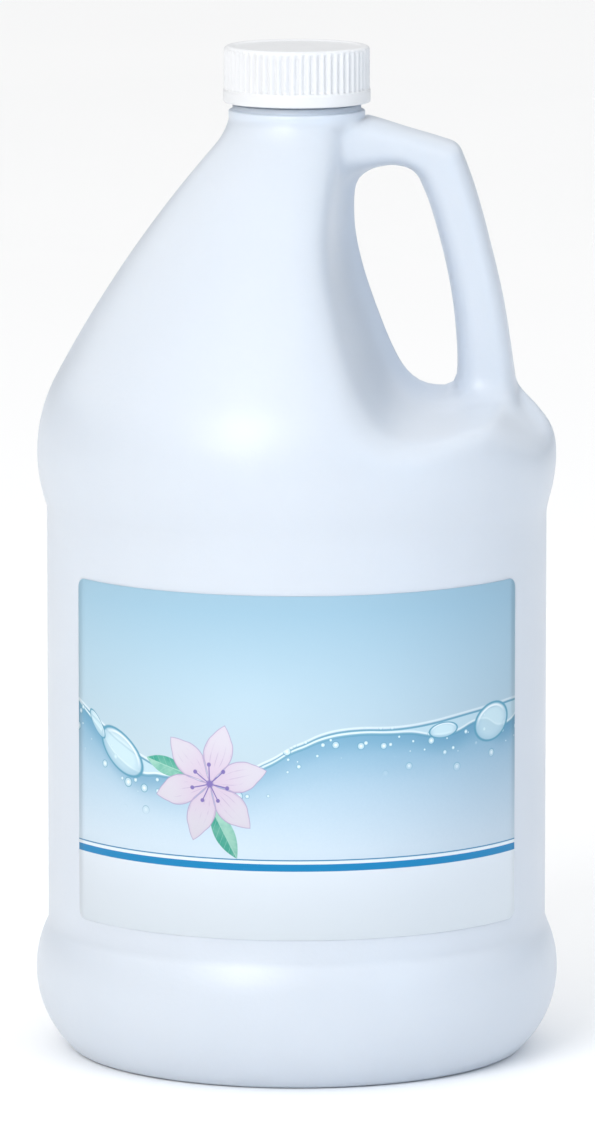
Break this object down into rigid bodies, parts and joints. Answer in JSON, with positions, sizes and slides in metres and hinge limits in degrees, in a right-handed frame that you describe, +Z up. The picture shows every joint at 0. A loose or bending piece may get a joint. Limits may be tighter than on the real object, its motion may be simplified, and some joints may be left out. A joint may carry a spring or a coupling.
{
  "type": "hand soap refill pack",
  "caption": "Round blown refill jug with a hollow through handle, ribbed screw cap with liner, wrap-round front label, and the liquid soap inside.",
  "frame": {"origin": "on the bottle's axis, on the surface it stands on", "axes": "+Z up along the bottle's axis, +X towards the handle, -Y towards the label"},
  "size_m": [0.1558, 0.1558, 0.3],
  "materials": {
    "bottle": "satin, slightly translucent blown polyethylene",
    "soap": "glossy pearl liquid",
    "label": "printed satin film",
    "cap": "satin moulded plastic",
    "liner": "matte foam"
  },
  "bodies": {
    "bottle": {"bottle": "bottle", "soap": "soap", "label": "label"},
    "liner": {"cap_liner": "liner"},
    "cap": {"cap": "cap"}
  },
  "joints": [
    {"name": "cap_lift", "type": "slide", "parent": "bottle", "child": "liner", "axis": [0, 0, 1], "range_m": [0, 0.01694]},
    {"name": "cap_turn", "type": "hinge", "parent": "liner", "child": "cap", "pos_m": [0, 0, 0.29], "axis": [0, 0, 1], "range_deg": [0, 1440]}
  ],
  "couplings": [
    {"joint": "cap_lift", "follows": "cap_turn", "m_per_rad": 0.00067371}
  ]
}
